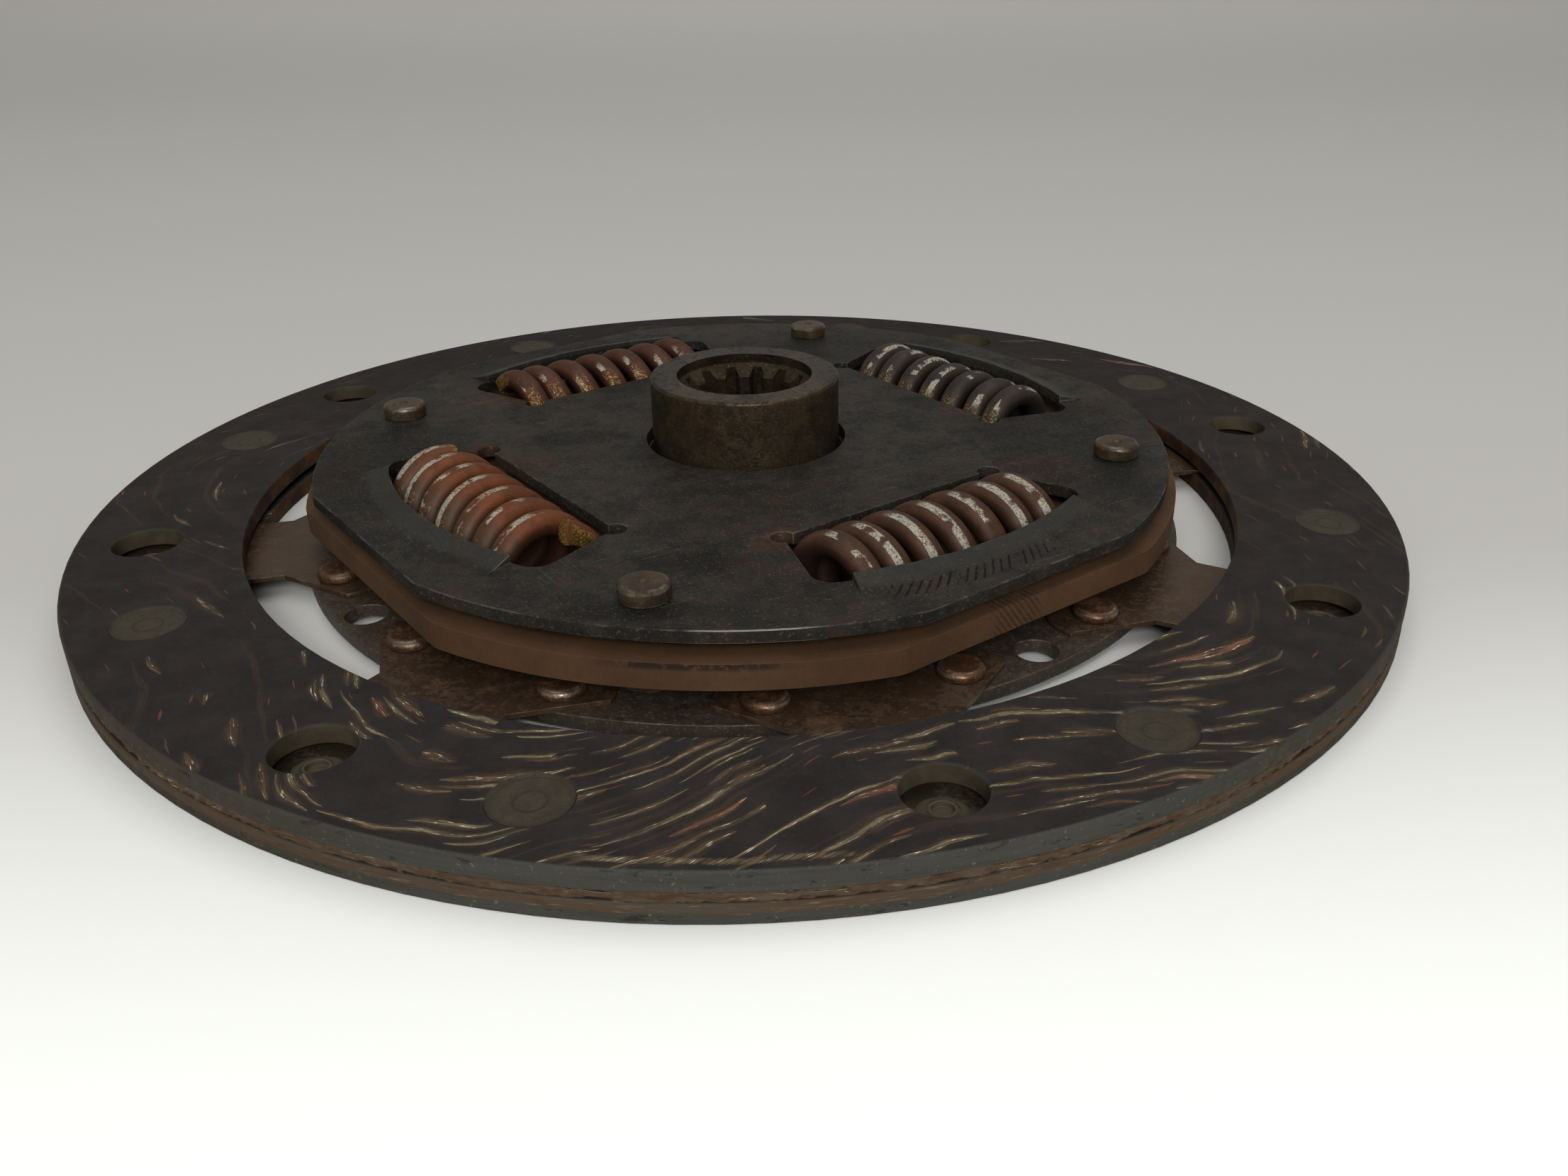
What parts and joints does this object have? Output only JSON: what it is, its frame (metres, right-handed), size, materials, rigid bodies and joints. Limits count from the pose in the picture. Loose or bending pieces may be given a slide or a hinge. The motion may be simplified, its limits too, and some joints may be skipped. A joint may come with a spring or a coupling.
{
  "type": "clutch disc",
  "caption": "Clutch disc: riveted friction facings on wavy spring segments, two windowed plates, coil damper springs and a splined hub that turns a little against them.",
  "frame": {"origin": "on the disc's axis, in the plane of the flywheel side facing's friction face, which the disc lies on", "axes": "+Z along the hub's axis towards the gearbox side, away from the surface it lies on; +X and +Y across the disc, with -Y towards the viewer of the picture"},
  "size_m": [0.2, 0.2, 0.0242],
  "materials": {
    "flywheel_facing": "matt moulded friction material with fibres",
    "gearbox_facing": "matt moulded friction material with fibres, worn",
    "cushion_segments": "spring steel leaf, brown with rust",
    "disc_plate": "dark steel, light rust",
    "retainer_plate": "blue grey steel with rust stains",
    "hub_flange": "steel with an even coat of orange rust",
    "hub": "forged and turned steel, brown, pitted",
    "damper_springs": "spring wire, rust brown with pale paint marks",
    "stop_pins": "steel, bronze brown",
    "segment_rivets": "steel, rust brown",
    "facing_rivets": "dulled rivet metal",
    "friction_rings": "matt moulded friction material",
    "washers": "ground steel"
  },
  "bodies": {
    "disc": {"flywheel_facing": "flywheel_facing", "gearbox_facing": "gearbox_facing", "flywheel_facing_rivets": "facing_rivets", "gearbox_facing_rivets": "facing_rivets", "disc_plate": "disc_plate", "retainer_plate": "retainer_plate", "cushion_segment_1": "cushion_segments", "cushion_segment_2": "cushion_segments", "cushion_segment_3": "cushion_segments", "cushion_segment_4": "cushion_segments", "cushion_segment_5": "cushion_segments", "cushion_segment_6": "cushion_segments", "cushion_segment_7": "cushion_segments", "cushion_segment_8": "cushion_segments", "segment_rivets": "segment_rivets", "stop_pins": "stop_pins", "flywheel_friction_ring": "friction_rings", "gearbox_friction_ring": "friction_rings", "thrust_washer": "washers", "spring_washer": "washers"},
    "hub": {"hub": "hub", "hub_flange": "hub_flange"},
    "damper_springs": {"damper_spring_1": "damper_springs", "damper_spring_2": "damper_springs", "damper_spring_3": "damper_springs", "damper_spring_4": "damper_springs"}
  },
  "joints": [
    {"name": "hub_twist", "type": "hinge", "parent": "disc", "child": "hub", "pos_m": [0, 0, 0.008], "axis": [0, 0, 1], "range_deg": [-11, 8], "stiffness_Nm_per_rad": 6, "deforming": ["damper_spring_1", "damper_spring_2", "damper_spring_3", "damper_spring_4"]},
    {"name": "spring_follow", "type": "hinge", "parent": "disc", "child": "damper_springs", "pos_m": [0, 0, 0.008], "axis": [0, 0, 1], "range_deg": [-5.5, 4]}
  ],
  "couplings": [
    {"joint": "spring_follow", "follows": "hub_twist", "ratio": 0.5}
  ]
}
